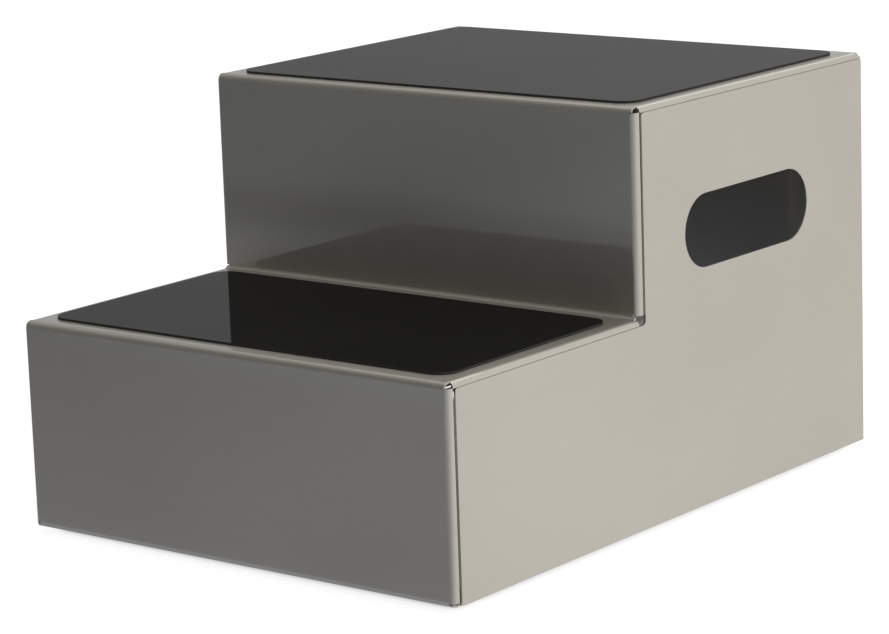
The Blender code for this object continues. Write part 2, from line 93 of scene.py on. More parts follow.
@dataclass(frozen=True)
class Signal:
    """One number of a shader, which joins in sums as a plain number does."""

    graph: "Graph"
    socket: NodeSocket

    def __add__(self, other: "Signal | float") -> "Signal":
        """This number plus another."""
        return self.graph.math("ADD", self, other)

    __radd__ = __add__

    def __sub__(self, other: "Signal | float") -> "Signal":
        """This number less another."""
        return self.graph.math("SUBTRACT", self, other)

    def __rsub__(self, other: "Signal | float") -> "Signal":
        """Another number less this one."""
        return self.graph.math("SUBTRACT", other, self)

    def __mul__(self, other: "Signal | float") -> "Signal":
        """This number times another."""
        return self.graph.math("MULTIPLY", self, other)

    __rmul__ = __mul__

    def at_most(self, limit: float) -> "Signal":
        """This number, held down to a limit."""
        return self.graph.math("MINIMUM", self, limit)

    def size(self) -> "Signal":
        """This number without its sign."""
        return self.graph.math("ABSOLUTE", self)

    def sway(self, share: float) -> "Signal":
        """A share of how far this number is from one half."""
        return (self - 0.5) * share

    def ramp(self, start: float, end: float, low: float = 0.0, high: float = 1.0) -> "Signal":
        """Ease from the low value to the high one while this number goes from start to end."""
        inputs = {"Value": self, "From Min": start, "From Max": end, "To Min": low, "To Max": high}
        return self.graph.number("MapRange", {"interpolation_type": "SMOOTHSTEP"}, inputs)


class Graph:
    """A node tree that is filled one call at a time."""

    def __init__(self, tree: NodeTree) -> None:
        """Start from an empty tree."""
        self.tree = tree
        self.tree.nodes.clear()

    def node(self, kind: str, settings: dict | None = None, inputs: dict | None = None) -> Node:
        """Add a node, choose its settings and then feed its sockets.

        Args:
            kind: The node's type, without the prefix that all of them share.
            settings: Its own choices, by name.
            inputs: A number, a tuple, a socket or a Signal for each socket, by name or by number.

        Returns:
            The node.
        """
        made = self.tree.nodes.new("ShaderNode" + kind)
        for key, setting in (settings or {}).items():
            setattr(made, key, setting)
        for key, value in (inputs or {}).items():
            if isinstance(value, (Signal, NodeSocket)):
                source = value.socket if isinstance(value, Signal) else value
                self.tree.links.new(source, made.inputs[key])
            else:
                made.inputs[key].default_value = value
        return made

    def number(self, kind: str, settings: dict | None, inputs: dict) -> Signal:
        """Add a node whose first output is a number."""
        return Signal(self, self.node(kind, settings, inputs).outputs[0])

    def shader(self, kind: str, inputs: dict) -> NodeSocket:
        """Add a shader."""
        return self.node(kind, None, inputs).outputs[0]

    def math(self, operation: str, *values: Signal | float) -> Signal:
        """Add one Math node that works on one or two numbers."""
        return self.number("Math", {"operation": operation}, dict(enumerate(values)))

    def axes(self, vector: str) -> tuple[Signal, ...]:
        """The X, Y and Z of one of the Texture Coordinate node's vectors."""
        split = self.node("SeparateXYZ", None, {0: self.node("TexCoord").outputs[vector]})
        return tuple(Signal(self, part) for part in split.outputs)

    def rays(self, kind: str) -> Signal:
        """1 for rays of one kind and 0 for the rest."""
        return Signal(self, self.node("LightPath").outputs[f"Is {kind} Ray"])

    def pattern(self, kind: str, per_metre: Sequence[float], **inputs: float) -> Node:
        """Add a texture that is laid out by the place on the piece.

        Args:
            kind: The texture node's type.
            per_metre: How many clouds or cells fit in a metre along X, Y and Z.
            inputs: Its other inputs.

        Returns:
            The texture node.
        """
        here = self.node("TexCoord").outputs["Object"]
        place = self.node("Mapping", None, {"Vector": here, "Scale": tuple(per_metre)}).outputs[0]
        return self.node(kind, None, {"Vector": place, "Scale": 1.0, **inputs})

    def noise(self, stretch: Sequence[float], detail: float, rough: float = 0.5) -> Signal:
        """Cloudy noise around one half, with finer layers added at some strength."""
        made = self.pattern("TexNoise", stretch, Detail=detail, Roughness=rough)
        return Signal(self, made.outputs[0])

    def blend(self, share: Signal | float, first: object, second: object) -> NodeSocket:
        """Mix two colours, where the share is how much of the second shows."""
        inputs = {0: share, 6: first, 7: second}
        return self.node("Mix", {"data_type": "RGBA"}, inputs).outputs[2]

    def vary(self, tone: Signal, colour: Triple, spread: float) -> NodeSocket:
        """Let a colour run darker and lighter by a share of itself, as a tone around 0.5 says."""
        ends = [[min(1.0, part * (1.0 + side)) for part in colour] for side in (-spread, spread)]
        return self.blend(tone.ramp(*TONES), *((*end, 1.0) for end in ends))

    def bump(self, height: Signal, depth: float, strength: float) -> NodeSocket:
        """Turn a height from 0 to 1 into surface relief of a depth in metres."""
        inputs = {"Height": height, "Distance": depth, "Strength": strength}
        return self.node("Bump", None, inputs).outputs[0]


@dataclass(frozen=True)
class Finish:
    """A surface finish that can be made into a material."""

    name: str

    def surface(self, graph: Graph) -> NodeSocket:
        """Lay out the finish on an empty graph, as each kind does in its own way."""
        raise NotImplementedError

    def make(self) -> Material:
        """Build the finish.

        Returns:
            The material.
        """
        material = bpy.data.materials.new(self.name)
        material.use_nodes = True
        graph = Graph(material.node_tree)
        graph.node("OutputMaterial", None, {"Surface": self.surface(graph)})
        return material


# Finishes of the steps


class Grain(Enum):
    """Which way the brush went over a sheet, as the stretch of the grain along X, Y and Z."""

    ACROSS_THE_STRIP = (1.0, 60.0, 60.0)
    ALONG_THE_PANEL = (60.0, 1.0, 60.0)


@dataclass(frozen=True)
class SheetSteel(Finish):
    """Fine-brushed stainless sheet: a long faint grain, cloudy polish and a few hair scratches.

    Its valleys mirror softly and its crests clearly. A pale, less metallic painted highlight lies
    on the cut edges that face the front, which sit in shade in the seams. Beside the inner bend it
    is left off, so the relief there keeps its shade.
    """

    name: str = "satin_steel"
    colour: Triple = (0.577, 0.541, 0.470)
    edge_tint: Triple = (0.72, 0.77, 0.86)
    tone_spread: float = 0.05
    cloud_tone: float = 0.6
    grain_tone: float = 0.35
    fine_tone: float = 0.15
    grain: Grain = Grain.ACROSS_THE_STRIP
    grain_lines: float = 22.0
    fine_lines: float = 2.7
    scratch_lines: float = 0.45
    scratch_span: Span = (0.70, 0.76)
    cloud_scale: Triple = (7.0, 7.0, 7.0)
    handling_scale: Triple = (23.0, 19.0, 21.0)
    handling_span: Span = (0.52, 0.72)
    roughness: float = 0.46
    polish_spread: float = 0.06
    handling_dulls: float = 0.02
    scratch_dulls: float = 0.03
    haze: float = 0.25
    painted_edge_haze: float = 0.5
    gloss: float = 0.33
    gloss_spread: float = 0.05
    handling_hides: float = 0.02
    painted_edge_hides: float = 0.2
    gloss_roughness: float = 0.05
    gloss_roughness_spread: float = 0.02
    scratch_roughness: float = 0.05
    relief: float = 0.012 * MM
    relief_strength: float = 0.12
    grain_relief: float = 0.6
    fine_relief: float = 0.4
    scratch_relief: float = 0.2
    # Painted highlight on the front-facing cut edges, which sit in shade in the seams, and the band
    # beside the inner bend where it is left off so the relief stays shaded
    painted_edge_light: float = 0.0
    painted_edge_colour: Triple = (0.90, 0.87, 0.80)
    painted_edge_facing: Grade = (-0.9, -0.5, 1.0, 0.0)
    painted_edge_front: Grade = (0.0, 20.0 * MM, 1.0, 0.0)
    relief_shade_height: float = 152.0 * MM
    relief_shade_span: Span = (4.0 * MM, 7.0 * MM)

    def surface(self, graph: Graph) -> NodeSocket:
        """Lay out the finish.

        Args:
            graph: The empty graph.

        Returns:
            The shader.
        """
        lines = [self.grain_lines * share for share in self.grain.value]
        grain = graph.noise(lines, detail=3.0, rough=0.6)
        fine = graph.noise([self.fine_lines * line for line in lines], detail=1.0)
        hairs = [self.scratch_lines * line for line in lines]
        scratches = graph.noise(hairs, detail=6.0, rough=0.75).ramp(*self.scratch_span)
        clouds = graph.noise(self.cloud_scale, detail=3.0)
        handled = graph.noise(self.handling_scale, detail=4.0, rough=0.55)
        handled = handled.ramp(*self.handling_span)
        _, back, height = graph.axes("Object")
        # Painted highlight: the front-facing cut edges near the front are painted pale, as light in
        # the seams, except near the inner bend, whose relief keeps its shade
        painted_edge_mask = graph.axes("Normal")[1].ramp(*self.painted_edge_facing) * back.ramp(*self.painted_edge_front)
        out_of_relief_shade = (height - self.relief_shade_height).size().ramp(*self.relief_shade_span)
        painted_edge_mask = painted_edge_mask * self.painted_edge_light * out_of_relief_shade
        tone = 0.5 + clouds.sway(self.cloud_tone) + grain.sway(self.grain_tone)
        tone = tone + fine.sway(self.fine_tone)
        colour = graph.vary(tone, self.colour, self.tone_spread)
        relief = grain * self.grain_relief + fine * self.fine_relief
        relief = relief - scratches * self.scratch_relief
        shared = {
            "Base Color": graph.blend(painted_edge_mask, colour, (*self.painted_edge_colour, 1.0)),
            "Specular Tint": (*self.edge_tint, 1.0),
            "Normal": graph.bump(relief, self.relief, self.relief_strength),
        }
        polish = grain.sway(self.polish_spread) + handled * self.handling_dulls
        polish = polish + scratches * self.scratch_dulls
        # Where the painted edge highlight lies, the steel is also less metallic and less glossy
        metal = 1.0 - self.haze - painted_edge_mask * self.painted_edge_haze
        dull = {"Metallic": metal, "Roughness": self.roughness + polish}
        valleys = graph.shader("BsdfPrincipled", {**dull, **shared})
        bright = self.gloss_roughness + grain.sway(self.gloss_roughness_spread)
        bright = bright + scratches * self.scratch_roughness
        crests = graph.shader("BsdfPrincipled", {"Metallic": 1.0, "Roughness": bright, **shared})
        share = self.gloss + clouds.sway(self.gloss_spread) - handled * self.handling_hides
        share = share - painted_edge_mask * self.painted_edge_hides
        return graph.shader("MixShader", {0: share, 1: valleys, 2: crests})


@dataclass(frozen=True)
class MatRubber(Finish):
    """Smooth black mat sheet with a wet-looking face, a slight orange peel and a film of dust."""

    name: str = "gloss_black_mat"
    colour: Triple = (0.0055, 0.0055, 0.0056)
    dust: Triple = (0.0110, 0.0108, 0.0104)
    cut_edge: Triple = (0.048, 0.048, 0.047)
    roughness: float = 0.55
    roughness_spread: float = 0.10
    film: float = 0.285
    film_spread: float = 0.03
    film_lost_at_specks: float = 0.05
    film_roughness: float = 0.03
    peel_scale: Triple = (420.0, 420.0, 420.0)
    peel_depth: float = 0.02 * MM
    peel_strength: float = 0.03
    wipe_scale: Triple = (9.0, 6.0, 9.0)
    wipe_span: Span = (0.40, 0.75)
    wiped_dust: float = 0.35
    speck_scale: Triple = (900.0, 900.0, 900.0)
    speck_span: Span = (0.66, 0.74)
    speck_dust: float = 0.3
    level_span: Span = (0.3, 0.8)

    def surface(self, graph: Graph) -> NodeSocket:
        """Lay out the finish.

        Args:
            graph: The empty graph.

        Returns:
            The shader.
        """
        peel = graph.noise(self.peel_scale, detail=1.0)
        wiped = graph.noise(self.wipe_scale, detail=3.0)
        specks = graph.noise(self.speck_scale, detail=2.0).ramp(*self.speck_span)
        dusty = wiped.ramp(*self.wipe_span) * self.wiped_dust + specks * self.speck_dust
        skin = graph.blend(dusty, (*self.colour, 1.0), (*self.dust, 1.0))
        level = graph.axes("Normal")[2].size().ramp(*self.level_span)
        film = self.film + wiped.sway(self.film_spread)
        inputs = {
            "Base Color": graph.blend(level, (*self.cut_edge, 1.0), skin),
            "Roughness": self.roughness + wiped.sway(self.roughness_spread),
            "Specular IOR Level": 0.0,
            "Coat Weight": film - specks * self.film_lost_at_specks,
            "Coat Roughness": self.film_roughness,
            "Normal": graph.bump(peel, self.peel_depth, self.peel_strength),
        }
        return graph.shader("BsdfPrincipled", inputs)


@dataclass(frozen=True)
class FootRubber(Finish):
    """Moulded black rubber, dull, with a pebbled skin that floor dust greys."""

    name: str = "foot_rubber"
    colour: Triple = (0.020, 0.020, 0.021)
    dust: Triple = (0.060, 0.057, 0.052)
    roughness: float = 0.74
    roughness_spread: float = 0.16
    pebbles: float = 1900.0
    pebble_depth: float = 0.08 * MM
    pebble_strength: float = 0.4
    smear_scale: Triple = (160.0, 160.0, 90.0)
    smear_span: Span = (0.45, 0.75)
    smeared_dust: float = 0.6

    def surface(self, graph: Graph) -> NodeSocket:
        """Lay out the finish.

        Args:
            graph: The empty graph.

        Returns:
            The shader.
        """
        cells = graph.pattern("TexVoronoi", [self.pebbles] * 3)
        pebbles = Signal(graph, cells.outputs["Distance"])
        smears = graph.noise(self.smear_scale, detail=4.0)
        dusty = smears.ramp(*self.smear_span) * self.smeared_dust
        inputs = {
            "Base Color": graph.blend(dusty, (*self.colour, 1.0), (*self.dust, 1.0)),
            "Roughness": self.roughness + smears.sway(self.roughness_spread),
            "Normal": graph.bump(pebbles, self.pebble_depth, self.pebble_strength),
        }
        return graph.shader("BsdfPrincipled", inputs)


@dataclass(frozen=True)
class PlatedSteel(Finish):
    """Zinc-plated or mill-finished steel with a crystal mottle and dull, smeared patches."""

    colour: Triple
    roughness: float
    crystals: float
    mottle: float = 0.10
    smears_per_crystal: float = 0.3
    crystal_tone: float = 0.6
    smear_tone: float = 0.4
    crystal_roughness: float = 0.10
    smear_roughness: float = 0.12
    relief: float = 0.03 * MM
    relief_strength: float = 0.15

    def surface(self, graph: Graph) -> NodeSocket:
        """Lay out the finish.

        Args:
            graph: The empty graph.

        Returns:
            The shader.
        """
        cells = graph.pattern("TexVoronoi", [self.crystals] * 3).outputs["Color"]
        crystal = graph.number("RGBToBW", None, {0: cells})
        smears = graph.noise([self.smears_per_crystal * self.crystals] * 3, detail=4.0)
        tone = crystal * self.crystal_tone + smears * self.smear_tone
        rough = self.roughness + crystal.sway(self.crystal_roughness)
        inputs = {
            "Base Color": graph.vary(tone, self.colour, self.mottle),
            "Metallic": 1.0,
            "Roughness": rough + smears.sway(self.smear_roughness),
            "Normal": graph.bump(tone, self.relief, self.relief_strength),
        }
        return graph.shader("BsdfPrincipled", inputs)


# The shop moves that shape each piece


class Blank:
    """A piece of stock under work, with the moves that lay out, round, fold and draw it."""

    def __init__(self) -> None:
        """Start with nothing on the bench."""
        self.bm = bmesh.new()

    def line(self, corners: Iterable[Triple], closed: bool = False) -> list[BMVert]:
        """Lay out a line of points.

        Args:
            corners: The points, in order.
            closed: Whether the last point joins the first.

        Returns:
            The points laid.
        """
        points = [self.bm.verts.new(corner) for corner in corners]
        for pair in zip(points, points[1:] + points[:closed], strict=False):
            self.bm.edges.new(pair)
        return points

    def side_line(self, x: float, corners: Iterable[Span], closed: bool = False) -> list[BMVert]:
        """Lay out a line of (y, z) points in the plane at X."""
        return self.line([(x, y, z) for y, z in corners], closed)

    def round_corners(self, corners: Sequence[BMVert], radius: float, segments: int) -> None:
        """Round square corners of a line.

        Args:
            corners: The corners to round.
            radius: The radius they get.
            segments: How many chords make each.
        """
        bmesh.ops.bevel(
            self.bm,
            geom=list(corners),
            offset=radius,
            offset_type="OFFSET",
            segments=segments,
            profile=0.5,
            affect="VERTICES",
            material=-1,
        )

    def rod(self, place: Vector, radii: Span, length: float, segments: int) -> None:
        """Add an upright rod.

        Args:
            place: Its middle.
            radii: Its lower and upper radius.
            length: How long it is.
            segments: How many sides it has.
        """
        bmesh.ops.create_cone(
            self.bm,
            cap_ends=True,
            segments=segments,
            radius1=radii[0],
            radius2=radii[1],
            depth=length,
            matrix=Matrix.Translation(place),
        )

    def split(self, place: Vector, facing: Vector, keep_out: Callable[[Vector], bool]) -> None:
        """Part the edges that cross a plane.

        Args:
            place: A point on the plane.
            facing: The way the plane faces.
            keep_out: Says of an edge's middle whether the edge is left whole.
        """
        edges = [e for e in self.bm.edges if not keep_out((e.verts[0].co + e.verts[1].co) / 2)]
        points = list({vert for edge in edges for vert in edge.verts})
        bmesh.ops.bisect_plane(
            self.bm, geom=points + edges, dist=TOUCHING, plane_co=place, plane_no=facing
        )

    def open_edges(self, test: Callable[[Vector], bool]) -> list[BMEdge]:
        """The edges with a free side whose two ends pass a test."""
        free = [edge for edge in self.bm.edges if len(edge.link_faces) < 2]
        return [edge for edge in free if all(test(vert.co) for vert in edge.verts)]

    def lift(self, grown: list, move: Vector) -> None:
        """Move the new points of an extrusion."""
        points = [item for item in grown if isinstance(item, BMVert)]
        bmesh.ops.translate(self.bm, verts=points, vec=move)

    def draw_out(self, edges: Sequence[BMEdge], move: Vector) -> None:
        """Grow sheet from a row of edges."""
        self.lift(bmesh.ops.extrude_edge_only(self.bm, edges=list(edges))["geom"], move)

    def fold(self, edges: list[BMEdge], pivot: Vector, axis: Vector, steps: int) -> list[BMEdge]:
        """Bend new sheet a quarter turn round an axis, as a folding press does.

        Args:
            edges: The edges that the bend grows from.
            pivot: A point on the bend's axis.
            axis: The way the axis runs.
            steps: How many slices make the bend.

        Returns:
            The edges at the bend's far side.
        """
        geom = list({vert for edge in edges for vert in edge.verts}) + edges
        quarter = math.pi / 2
        spun = bmesh.ops.spin(
            self.bm, geom=geom, cent=pivot, axis=axis, angle=quarter, steps=steps, use_merge=False
        )
        return [item for item in spun["geom_last"] if isinstance(item, BMEdge)]

    def turn(self, steps: int) -> None:
        """Turn the line on the bench about the upright axis through the origin.

        Args:
            steps: How many slices make the full turn.
        """
        line = self.bm.verts[:] + self.bm.edges[:]
        bmesh.ops.spin(self.bm, geom=line, axis=UP, angle=math.tau, steps=steps, use_merge=True)
        self.close_up()

    def fill_and_raise(self, move: Vector) -> None:
        """Fill the outlines on the bench, holes left open, and give the plate its thickness.

        Args:
            move: The plate's thickness and the way it goes.
        """
        bmesh.ops.triangle_fill(self.bm, use_beauty=True, edges=self.bm.edges[:])
        self.lift(bmesh.ops.extrude_face_region(self.bm, geom=self.bm.faces[:])["geom"], move)
        self.close_up()

    def mirror_across(self) -> None:
        """Copy the right half to the left and join the two in the middle."""
        half = self.bm.verts[:] + self.bm.edges[:] + self.bm.faces[:]
        here = Matrix.Identity(4)
        bmesh.ops.mirror(self.bm, geom=half, matrix=here, merge_dist=TINY, axis="X")
        self.close_up()

    def close_up(self) -> None:
        """Merge points that meet and turn every face the same way."""
        bmesh.ops.remove_doubles(self.bm, verts=self.bm.verts[:], dist=TOUCHING)
        bmesh.ops.recalc_face_normals(self.bm, faces=self.bm.faces[:])

    def turn_level_face(self, height: float, upwards: bool) -> None:
        """Turn the whole sheet so that its level face at a height looks up, or down.

        Args:
            height: The height of the face.
            upwards: Whether that face has to look up.
        """
        level = min(self.bm.faces, key=lambda face: abs(face.calc_center_median().z - height))
        if (level.normal.z > 0.0) != upwards:
            bmesh.ops.reverse_faces(self.bm, faces=self.bm.faces[:])

    def shift(self, move: Vector) -> None:
        """Move everything on the bench."""
        bmesh.ops.translate(self.bm, verts=self.bm.verts[:], vec=move)

    def piece(self, name: str) -> Object:
        """Take the work off the bench as an object.

        Args:
            name: The piece's name.

        Returns:
            The object, smooth shaded, at the origin.
        """
        mesh = bpy.data.meshes.new(name)
        self.bm.to_mesh(mesh)
        self.bm.free()
        mesh.shade_smooth()
        return show(name, mesh)


def show(name: str, data: bpy.types.ID) -> Object:
    """Put a mesh, a lamp or a camera in the scene.

    Args:
        name: The object's name.
        data: What it shows.

    Returns:
        The object.
    """
    made = bpy.data.objects.new(name, data)
    bpy.context.scene.collection.objects.link(made)
    return made


def set_up(holder: Object, place: Triple, turn: Quaternion) -> None:
    """Put a lamp or the camera in its place.

    Args:
        holder: The object.
        place: Where it stands.
        turn: How it is turned.
    """
    holder.location = place
    holder.rotation_mode = "QUATERNION"
    holder.rotation_quaternion = turn


def settle(piece: Object) -> None:
    """Make a piece's modifiers part of its mesh.

    Args:
        piece: The piece.
    """
    bpy.context.view_layer.update()
    evaluated = piece.evaluated_get(bpy.context.evaluated_depsgraph_get())
    mesh = bpy.data.meshes.new_from_object(evaluated)
    mesh.shade_smooth()
    piece.modifiers.clear()
    piece.data = mesh


def modify(piece: Object, kind: str, **settings: object) -> None:
    """Add a modifier to a piece.

    Args:
        piece: The piece.
        kind: The modifier's type.
        settings: Its settings, by name.
    """
    modifier = piece.modifiers.new(kind, kind)
    for key, setting in settings.items():
        setattr(modifier, key, setting)


def give_thickness(piece: Object, sheet: float) -> None:
    """Turn an outside face into sheet of even thickness, grown inwards.

    Args:
        piece: The piece.
        sheet: The sheet's thickness.
    """
    even = {"use_even_offset": True, "use_quality_normals": True}
    modify(piece, "SOLIDIFY", thickness=sheet, offset=-1.0, **even)
    settle(piece)


def cut(piece: Object, cutter: Object) -> None:
    """Take a cutter's shape out of a piece and put the cutter away.

    Args:
        piece: The piece that is cut.
        cutter: The tool.
    """
    modify(piece, "BOOLEAN", operation="DIFFERENCE", solver="EXACT", object=cutter)
    settle(piece)
    bpy.data.objects.remove(cutter)


@dataclass(frozen=True)
class Edge:
    """How sharp edges are broken: the width, the facets and, in degrees, which count as sharp."""

    width: float
    facets: int = 2
    sharper_than: float = 40.0


SHEARED = Edge(0.10 * MM)


def stand_for(piece: Object, node: str, material: Material, edge: Edge) -> Object:
    """Break a piece's edges, dress it and put it in the place of its CAD node.

    Args:
        piece: The finished piece.
        node: The node it stands for.
        material: Its finish.
        edge: How its sharp edges are broken.

    Returns:
        The same piece.
    """
    limit = {"limit_method": "ANGLE", "angle_limit": math.radians(edge.sharper_than)}
    modify(piece, "BEVEL", width=edge.width, segments=edge.facets, **limit)
    modify(piece, "WEIGHTED_NORMAL", weight=100, keep_sharp=False)
    piece.data.materials.clear()
    piece.data.materials.append(material)
    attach(piece, BODY)
    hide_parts(node)
    return piece


# The sub-assemblies


@dataclass(frozen=True)
class FlatRun:
    """A flat stretch of the strip whose long edge is folded back round its side.

    The fold comes back by the reach. It runs on past the start and the end by the overruns, there
    without the slices nearest the flat, which the next bend or relief holds back.
    """

    start: Vector
    end: Vector
    outward: Vector
    reach: float
    before: float = 0.0
    after: float = 0.0
    held_slices: int = 2


@dataclass
class FoldedStrip:
    """The one strip that makes the front, both treads, the riser and the back."""

    material: Material
    node: str = "step_shell"
    lower_rise: float = 150.8 * MM
    lower_going: float = 215.0 * MM
    sheet: float = SHEET
    inside_radius: float = BEND_INSIDE_RADIUS
    flange: float = 38.0 * MM
    clearance: float = 0.3 * MM
    return_reach: float = 5.9 * MM
    return_past_foot: float = 1.5 * MM
    return_past_inner_bend: float = 0.6 * MM
    return_past_top: float = 0.35 * MM
    tread_past_inner_bend: float = 0.8 * MM
    tread_past_rear: float = 4.0 * MM
    relief_setback: float = 6.4 * MM
    relief_inset: float = 2.65 * MM
    inner_corner_inset: float = 2.6 * MM
    rear_corner_inset: float = 2.1 * MM
    bend_slices: int = 16
    relief_slices: int = 2
    tread_held_slices: int = 6
    rear_held_slices: int = 12
    foot_wide_slices: int = 10
    inner_wide_slices: int = 12
    screw_hole: float = SCREW_HOLE_RADIUS
    screw_hole_sides: int = 48
    foot_from_side: float = 35.0 * MM
    foot_from_face: float = 27.6 * MM
    edge: Edge = SHEARED

    def __post_init__(self) -> None:
        """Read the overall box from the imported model."""
        self.low, self.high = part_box(self.node)
        self.outside_radius = self.inside_radius + self.sheet
        self.bend_x = self.high.x - self.outside_radius
        self.lower_z = self.low.z + self.lower_rise
        self.riser_y = self.low.y + self.lower_going

    def outline(self) -> list[Span]:
        """Set out the strip's square corners.

        Returns:
            The corners as (y, z), from the front flange to the rear one.
        """
        front, rear, foot, upper = self.low.y, self.high.y, self.low.z, self.high.z
        return [
            (front + self.flange, foot),
            (front, foot),
            (front, self.lower_z),
            (self.riser_y, self.lower_z),
            (self.riser_y, upper),
            (rear, upper),
            (rear, foot),
            (rear - self.flange, foot),
        ]

    def runs(self) -> list[FlatRun]:
        """Set out the flat stretches with folded long edges.

        Returns:
            The four stretches, in the order of the strip.
        """

        def run(start: Span, end: Span, outward: Vector, *rest: float) -> FlatRun:
            """A run between two (y, z) places on the side bend's line."""
            corners = [Vector((self.bend_x, *place)) for place in (start, end)]
            return FlatRun(*corners, outward, *rest)

        bend, corner, back = self.outside_radius, self.inside_radius, self.relief_setback
        front, rear, foot, upper = self.low.y, self.high.y, self.low.z, self.high.z
        riser, lower, reach = self.riser_y, self.lower_z, self.return_reach
        front_past = (self.return_past_foot, self.return_past_top)
        riser_past = (self.return_past_inner_bend, self.return_past_top)
        lower_past = (0.0, corner + self.tread_past_inner_bend, self.tread_held_slices)
        upper_past = (0.0, self.tread_past_rear, self.rear_held_slices)
        return [
            run((front, foot + bend), (front, lower - bend), FORWARD, reach, *front_past),
            run((front + back, lower), (riser - corner, lower), UP, bend, *lower_past),
            run((riser, lower + corner), (riser, upper - bend), FORWARD, reach, *riser_past),
            run((riser + back, upper), (rear - bend, upper), UP, bend, *upper_past),
        ]

    def fold_side(self, blank: Blank, run: FlatRun) -> None:
        """Fold one run's long edge back and give it its short overruns.

        Args:
            blank: The strip's right half.
            run: The flat stretch.
        """
        along = (run.end - run.start).normalized()
        length = (run.end - run.start).length

        def on_edge(p: Vector) -> bool:
            """True on the run's long edge."""
            gone = (p - run.start).dot(along)
            beside = (p - run.start - along * gone).length
            return -TINY < gone < length + TINY and beside < TINY

        edge = blank.open_edges(on_edge)
        pivot = run.start - run.outward * self.outside_radius
        rim = blank.fold(edge, pivot, run.outward.cross(ACROSS), self.bend_slices)
        if run.reach > self.outside_radius + TINY:
            blank.draw_out(rim, -run.outward * (run.reach - self.outside_radius))
        held_angle = math.pi / 2 * run.held_slices / self.bend_slices
        held_x = self.bend_x + self.outside_radius * math.sin(held_angle)
        for at, overrun in ((run.start, -run.before), (run.end, run.after)):
            if overrun == 0.0:
                continue

            def on_end(p: Vector, at: Vector = at) -> bool:
                """True on the fold's end, past the slices that the next bend holds back."""
                behind = (at - p).dot(run.outward)
                level = abs((p - at).dot(along)) < TINY
                return level and p.x > held_x - TINY and behind < run.reach + TINY

            blank.draw_out(blank.open_edges(on_end), along * overrun)

    def widen(self, blank: Blank, from_x: float, to_x: float, y: Span, z: Span) -> None:
        """Widen the strip where no fold comes off it.

        Args:
            blank: The strip's right half.
            from_x: Where its free edge is.
            to_x: How far out the strip goes there.
            y: The lowest and highest Y of the widened stretch.
            z: Its lowest and highest Z.
        """

        def inside(p: Vector) -> bool:
            """True on the free edge within the stretch."""
            level = y[0] - TINY < p.y < y[1] + TINY and z[0] - TINY < p.z < z[1] + TINY
            return abs(p.x - from_x) < TINY and level

        blank.draw_out(blank.open_edges(inside), ACROSS * (to_x - from_x))

    def relieve_corners(self, blank: Blank) -> None:
        """Widen the cross bends, each as far as the relief beside it leaves room.

        Args:
            blank: The strip's right half.
        """

        def fallen(radius: float, slices: int) -> float:
            """How far a bend has come away from its flat after some of its slices."""
            return radius * (1.0 - math.cos(math.pi / 2 * slices / self.bend_slices))

        bend, corner, x = self.outside_radius, self.inside_radius, self.bend_x
        front, rear, foot, upper = self.low.y, self.high.y, self.low.z, self.high.z
        riser, lower = self.riser_y, self.lower_z
        panel_inside = self.high.x - self.sheet - self.clearance
        relief_edge = self.high.x - self.relief_inset
        inner_edge = self.high.x - self.inner_corner_inset
        rear_edge = self.high.x - self.rear_corner_inset
        lip = self.relief_setback - self.clearance
        before_relief = self.bend_slices - self.relief_slices
        drop = fallen(bend, before_relief)
        inner_start = riser - fallen(corner, before_relief)
        inner_end = riser - fallen(corner, self.bend_slices - self.inner_wide_slices)
        foot_top = foot + fallen(bend, self.foot_wide_slices)
        rear_top = upper - fallen(bend, self.relief_slices)
        front_flange, rear_flange = (front, front + self.flange), (rear - self.flange, rear)
        for from_x, to_x, y, z in (
            (x, panel_inside, front_flange, (foot, foot_top)),
            (x, relief_edge, (front, front + lip), (lower - drop, lower)),
            (x, inner_edge, (inner_start, inner_end), (lower, lower + corner)),
            (x, relief_edge, (riser, riser + lip), (upper - drop, upper)),
            (x, rear_edge, rear_flange, (foot, rear_top)),
            (rear_edge, panel_inside, rear_flange, (foot, upper - bend)),
        ):
            self.widen(blank, from_x, to_x, y, z)

    def build(self) -> list[Object]:
        """Lay out, fold, thicken and drill the strip.

        Returns:
            The finished strip.
        """
        blank = Blank()
        corners = blank.side_line(0.0, self.outline())
        outer = [corners[index] for index in (1, 2, 4, 5, 6)]
        blank.round_corners(outer, self.outside_radius, self.bend_slices)
        blank.round_corners([corners[3]], self.inside_radius, self.bend_slices)
        for face_y, tread_z in ((self.low.y, self.lower_z), (self.riser_y, self.high.z)):
            for back in (self.relief_setback - self.clearance, self.relief_setback):
                blank.split(
                    Vector((0.0, face_y + back, 0.0)),
                    -FORWARD,
                    lambda p, level=tread_z: abs(p.z - level) > TINY,
                )
        blank.draw_out(blank.bm.edges[:], ACROSS * self.bend_x)
        for run in self.runs():
            self.fold_side(blank, run)
        self.relieve_corners(blank)
        blank.mirror_across()
        blank.turn_level_face(self.high.z, upwards=True)
        strip = blank.piece("folded_strip")
        give_thickness(strip, self.sheet)
        radii = (self.screw_hole, self.screw_hole)
        for side in (-1.0, 1.0):
            x = side * (self.high.x - self.foot_from_side)
            for y in (self.low.y + self.foot_from_face, self.high.y - self.foot_from_face):
                drill = Blank()
                place = Vector((x, y, self.low.z + self.sheet / 2))
                drill.rod(place, radii, 3 * self.sheet, self.screw_hole_sides)
                cut(strip, drill.piece("drill"))
        return [stand_for(strip, self.node, self.material, self.edge)]


